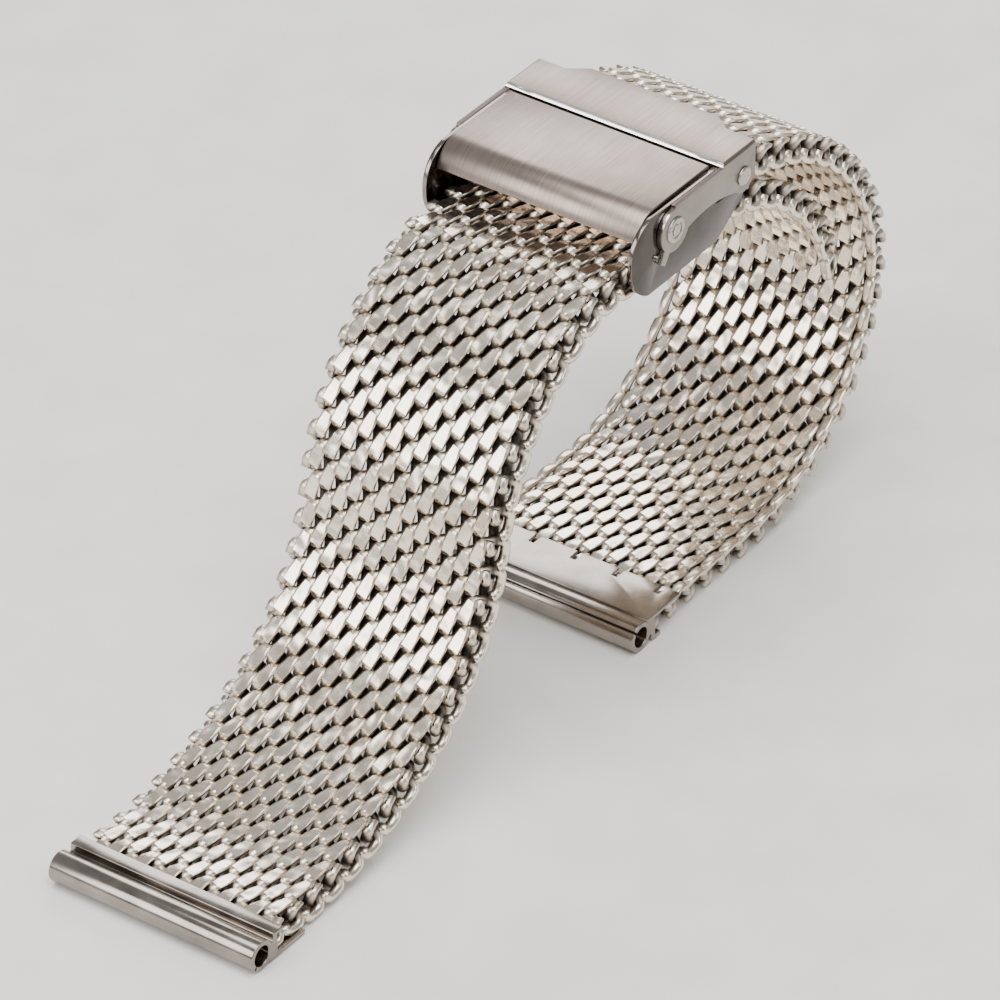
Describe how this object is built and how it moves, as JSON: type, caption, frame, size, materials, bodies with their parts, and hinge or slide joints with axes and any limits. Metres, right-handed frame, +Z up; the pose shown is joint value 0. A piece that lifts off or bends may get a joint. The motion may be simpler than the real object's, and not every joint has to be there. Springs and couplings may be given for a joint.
{
  "type": "milanese mesh watch band",
  "caption": "Woven steel mesh watch band with rolled lug ends, a sliding cam-lever clasp and a fold-over link plate.",
  "frame": {"origin": "middle of the outline's underside, on the surface that both lug ends rest on", "axes": "+X along the loop from the front lug end towards the far bend, +Y across the band, +Z up"},
  "size_m": [0.0896, 0.0218, 0.0424],
  "materials": {
    "woven_wire": "polished steel wire, woven",
    "polished_steel": "polished steel sheet",
    "satin_steel": "satin, brushed front to rear",
    "pin_steel": "smooth turned steel"
  },
  "bodies": {
    "clasp_frame": {"slider_body": "polished_steel"},
    "lever": {"cam_lever": "satin_steel", "cam_bar": "polished_steel"},
    "link": {"fold_link": "satin_steel", "front_pivot_pin": "pin_steel", "rear_pin": "pin_steel"},
    "sliding_mesh": {"clasp_mesh": "woven_wire"},
    "front_strap_6": {"front_mesh_6": "woven_wire"},
    "front_strap_5": {"front_mesh_5": "woven_wire"},
    "front_strap_4": {"front_mesh_4": "woven_wire"},
    "front_strap_3": {"front_mesh_3": "woven_wire"},
    "front_strap_2": {"front_mesh_2": "woven_wire"},
    "front_strap_1": {"front_mesh_1": "woven_wire", "front_end_piece": "polished_steel"},
    "tail_1": {"tail_mesh_1": "woven_wire"},
    "tail_2": {"tail_mesh_2": "woven_wire"},
    "rear_strap_1": {"rear_strap_eye": "polished_steel", "rear_mesh_1": "woven_wire"},
    "rear_strap_2": {"rear_mesh_2": "woven_wire"},
    "rear_strap_3": {"rear_mesh_3": "woven_wire"},
    "rear_strap_4": {"rear_mesh_4": "woven_wire"},
    "rear_strap_5": {"rear_mesh_5": "woven_wire"},
    "rear_strap_6": {"rear_mesh_6": "woven_wire"},
    "rear_strap_7": {"rear_mesh_7": "woven_wire", "rear_end_piece": "polished_steel"}
  },
  "joints": [
    {"name": "strap_slide", "type": "slide", "parent": "clasp_frame", "child": "sliding_mesh", "axis": [1, 0, 0], "range_m": [-0.002, 0.001]},
    {"name": "lever_hinge", "type": "hinge", "parent": "clasp_frame", "child": "lever", "pos_m": [0.01127, 0, 0.03977], "axis": [0, -1, 0], "range_deg": [0, 25]},
    {"name": "link_hinge", "type": "hinge", "parent": "clasp_frame", "child": "link", "pos_m": [0.01127, 0, 0.03977], "axis": [0, -1, 0], "range_deg": [0, 150]},
    {"name": "front_hinge_6", "type": "hinge", "parent": "sliding_mesh", "child": "front_strap_6", "pos_m": [0.00457, 0, 0.03667], "axis": [0, -1, 0], "range_deg": [-20, 15]},
    {"name": "front_hinge_5", "type": "hinge", "parent": "front_strap_6", "child": "front_strap_5", "pos_m": [-0.00554, 0, 0.03134], "axis": [0, -1, 0], "range_deg": [-20, 15]},
    {"name": "front_hinge_4", "type": "hinge", "parent": "front_strap_5", "child": "front_strap_4", "pos_m": [-0.0106, 0, 0.02238], "axis": [0, -1, 0], "range_deg": [-20, 15]},
    {"name": "front_hinge_3", "type": "hinge", "parent": "front_strap_4", "child": "front_strap_3", "pos_m": [-0.01414, 0, 0.01269], "axis": [0, -1, 0], "range_deg": [-20, 15]},
    {"name": "front_hinge_2", "type": "hinge", "parent": "front_strap_3", "child": "front_strap_2", "pos_m": [-0.02172, 0, 0.00572], "axis": [0, -1, 0], "range_deg": [-20, 15]},
    {"name": "front_hinge_1", "type": "hinge", "parent": "front_strap_2", "child": "front_strap_1", "pos_m": [-0.03141, 0, 0.00205], "axis": [0, -1, 0], "range_deg": [-20, 15]},
    {"name": "tail_hinge_1", "type": "hinge", "parent": "sliding_mesh", "child": "tail_1", "pos_m": [0.01887, 0, 0.03667], "axis": [0, 1, 0], "range_deg": [0, 15]},
    {"name": "tail_hinge_2", "type": "hinge", "parent": "tail_1", "child": "tail_2", "pos_m": [0.02966, 0, 0.03263], "axis": [0, 1, 0], "range_deg": [0, 15]},
    {"name": "rear_eye_hinge", "type": "hinge", "parent": "link", "child": "rear_strap_1", "pos_m": [0.02097, 0, 0.03977], "axis": [0, -1, 0], "range_deg": [-3, 12]},
    {"name": "rear_hinge_1", "type": "hinge", "parent": "rear_strap_1", "child": "rear_strap_2", "pos_m": [0.03214, 0, 0.03605], "axis": [0, -1, 0], "range_deg": [-5, 20]},
    {"name": "rear_hinge_2", "type": "hinge", "parent": "rear_strap_2", "child": "rear_strap_3", "pos_m": [0.03997, 0, 0.02934], "axis": [0, -1, 0], "range_deg": [-8, 20]},
    {"name": "rear_hinge_3", "type": "hinge", "parent": "rear_strap_3", "child": "rear_strap_4", "pos_m": [0.04355, 0, 0.01976], "axis": [0, -1, 0], "range_deg": [-8, 20]},
    {"name": "rear_hinge_4", "type": "hinge", "parent": "rear_strap_4", "child": "rear_strap_5", "pos_m": [0.04075, 0, 0.0099], "axis": [0, -1, 0], "range_deg": [-8, 20]},
    {"name": "rear_hinge_5", "type": "hinge", "parent": "rear_strap_5", "child": "rear_strap_6", "pos_m": [0.03185, 0, 0.00261], "axis": [0, -1, 0], "range_deg": [-8, 20]},
    {"name": "rear_hinge_6", "type": "hinge", "parent": "rear_strap_6", "child": "rear_strap_7", "pos_m": [0.02031, 0, 0.00135], "axis": [0, -1, 0], "range_deg": [-8, 20]}
  ]
}
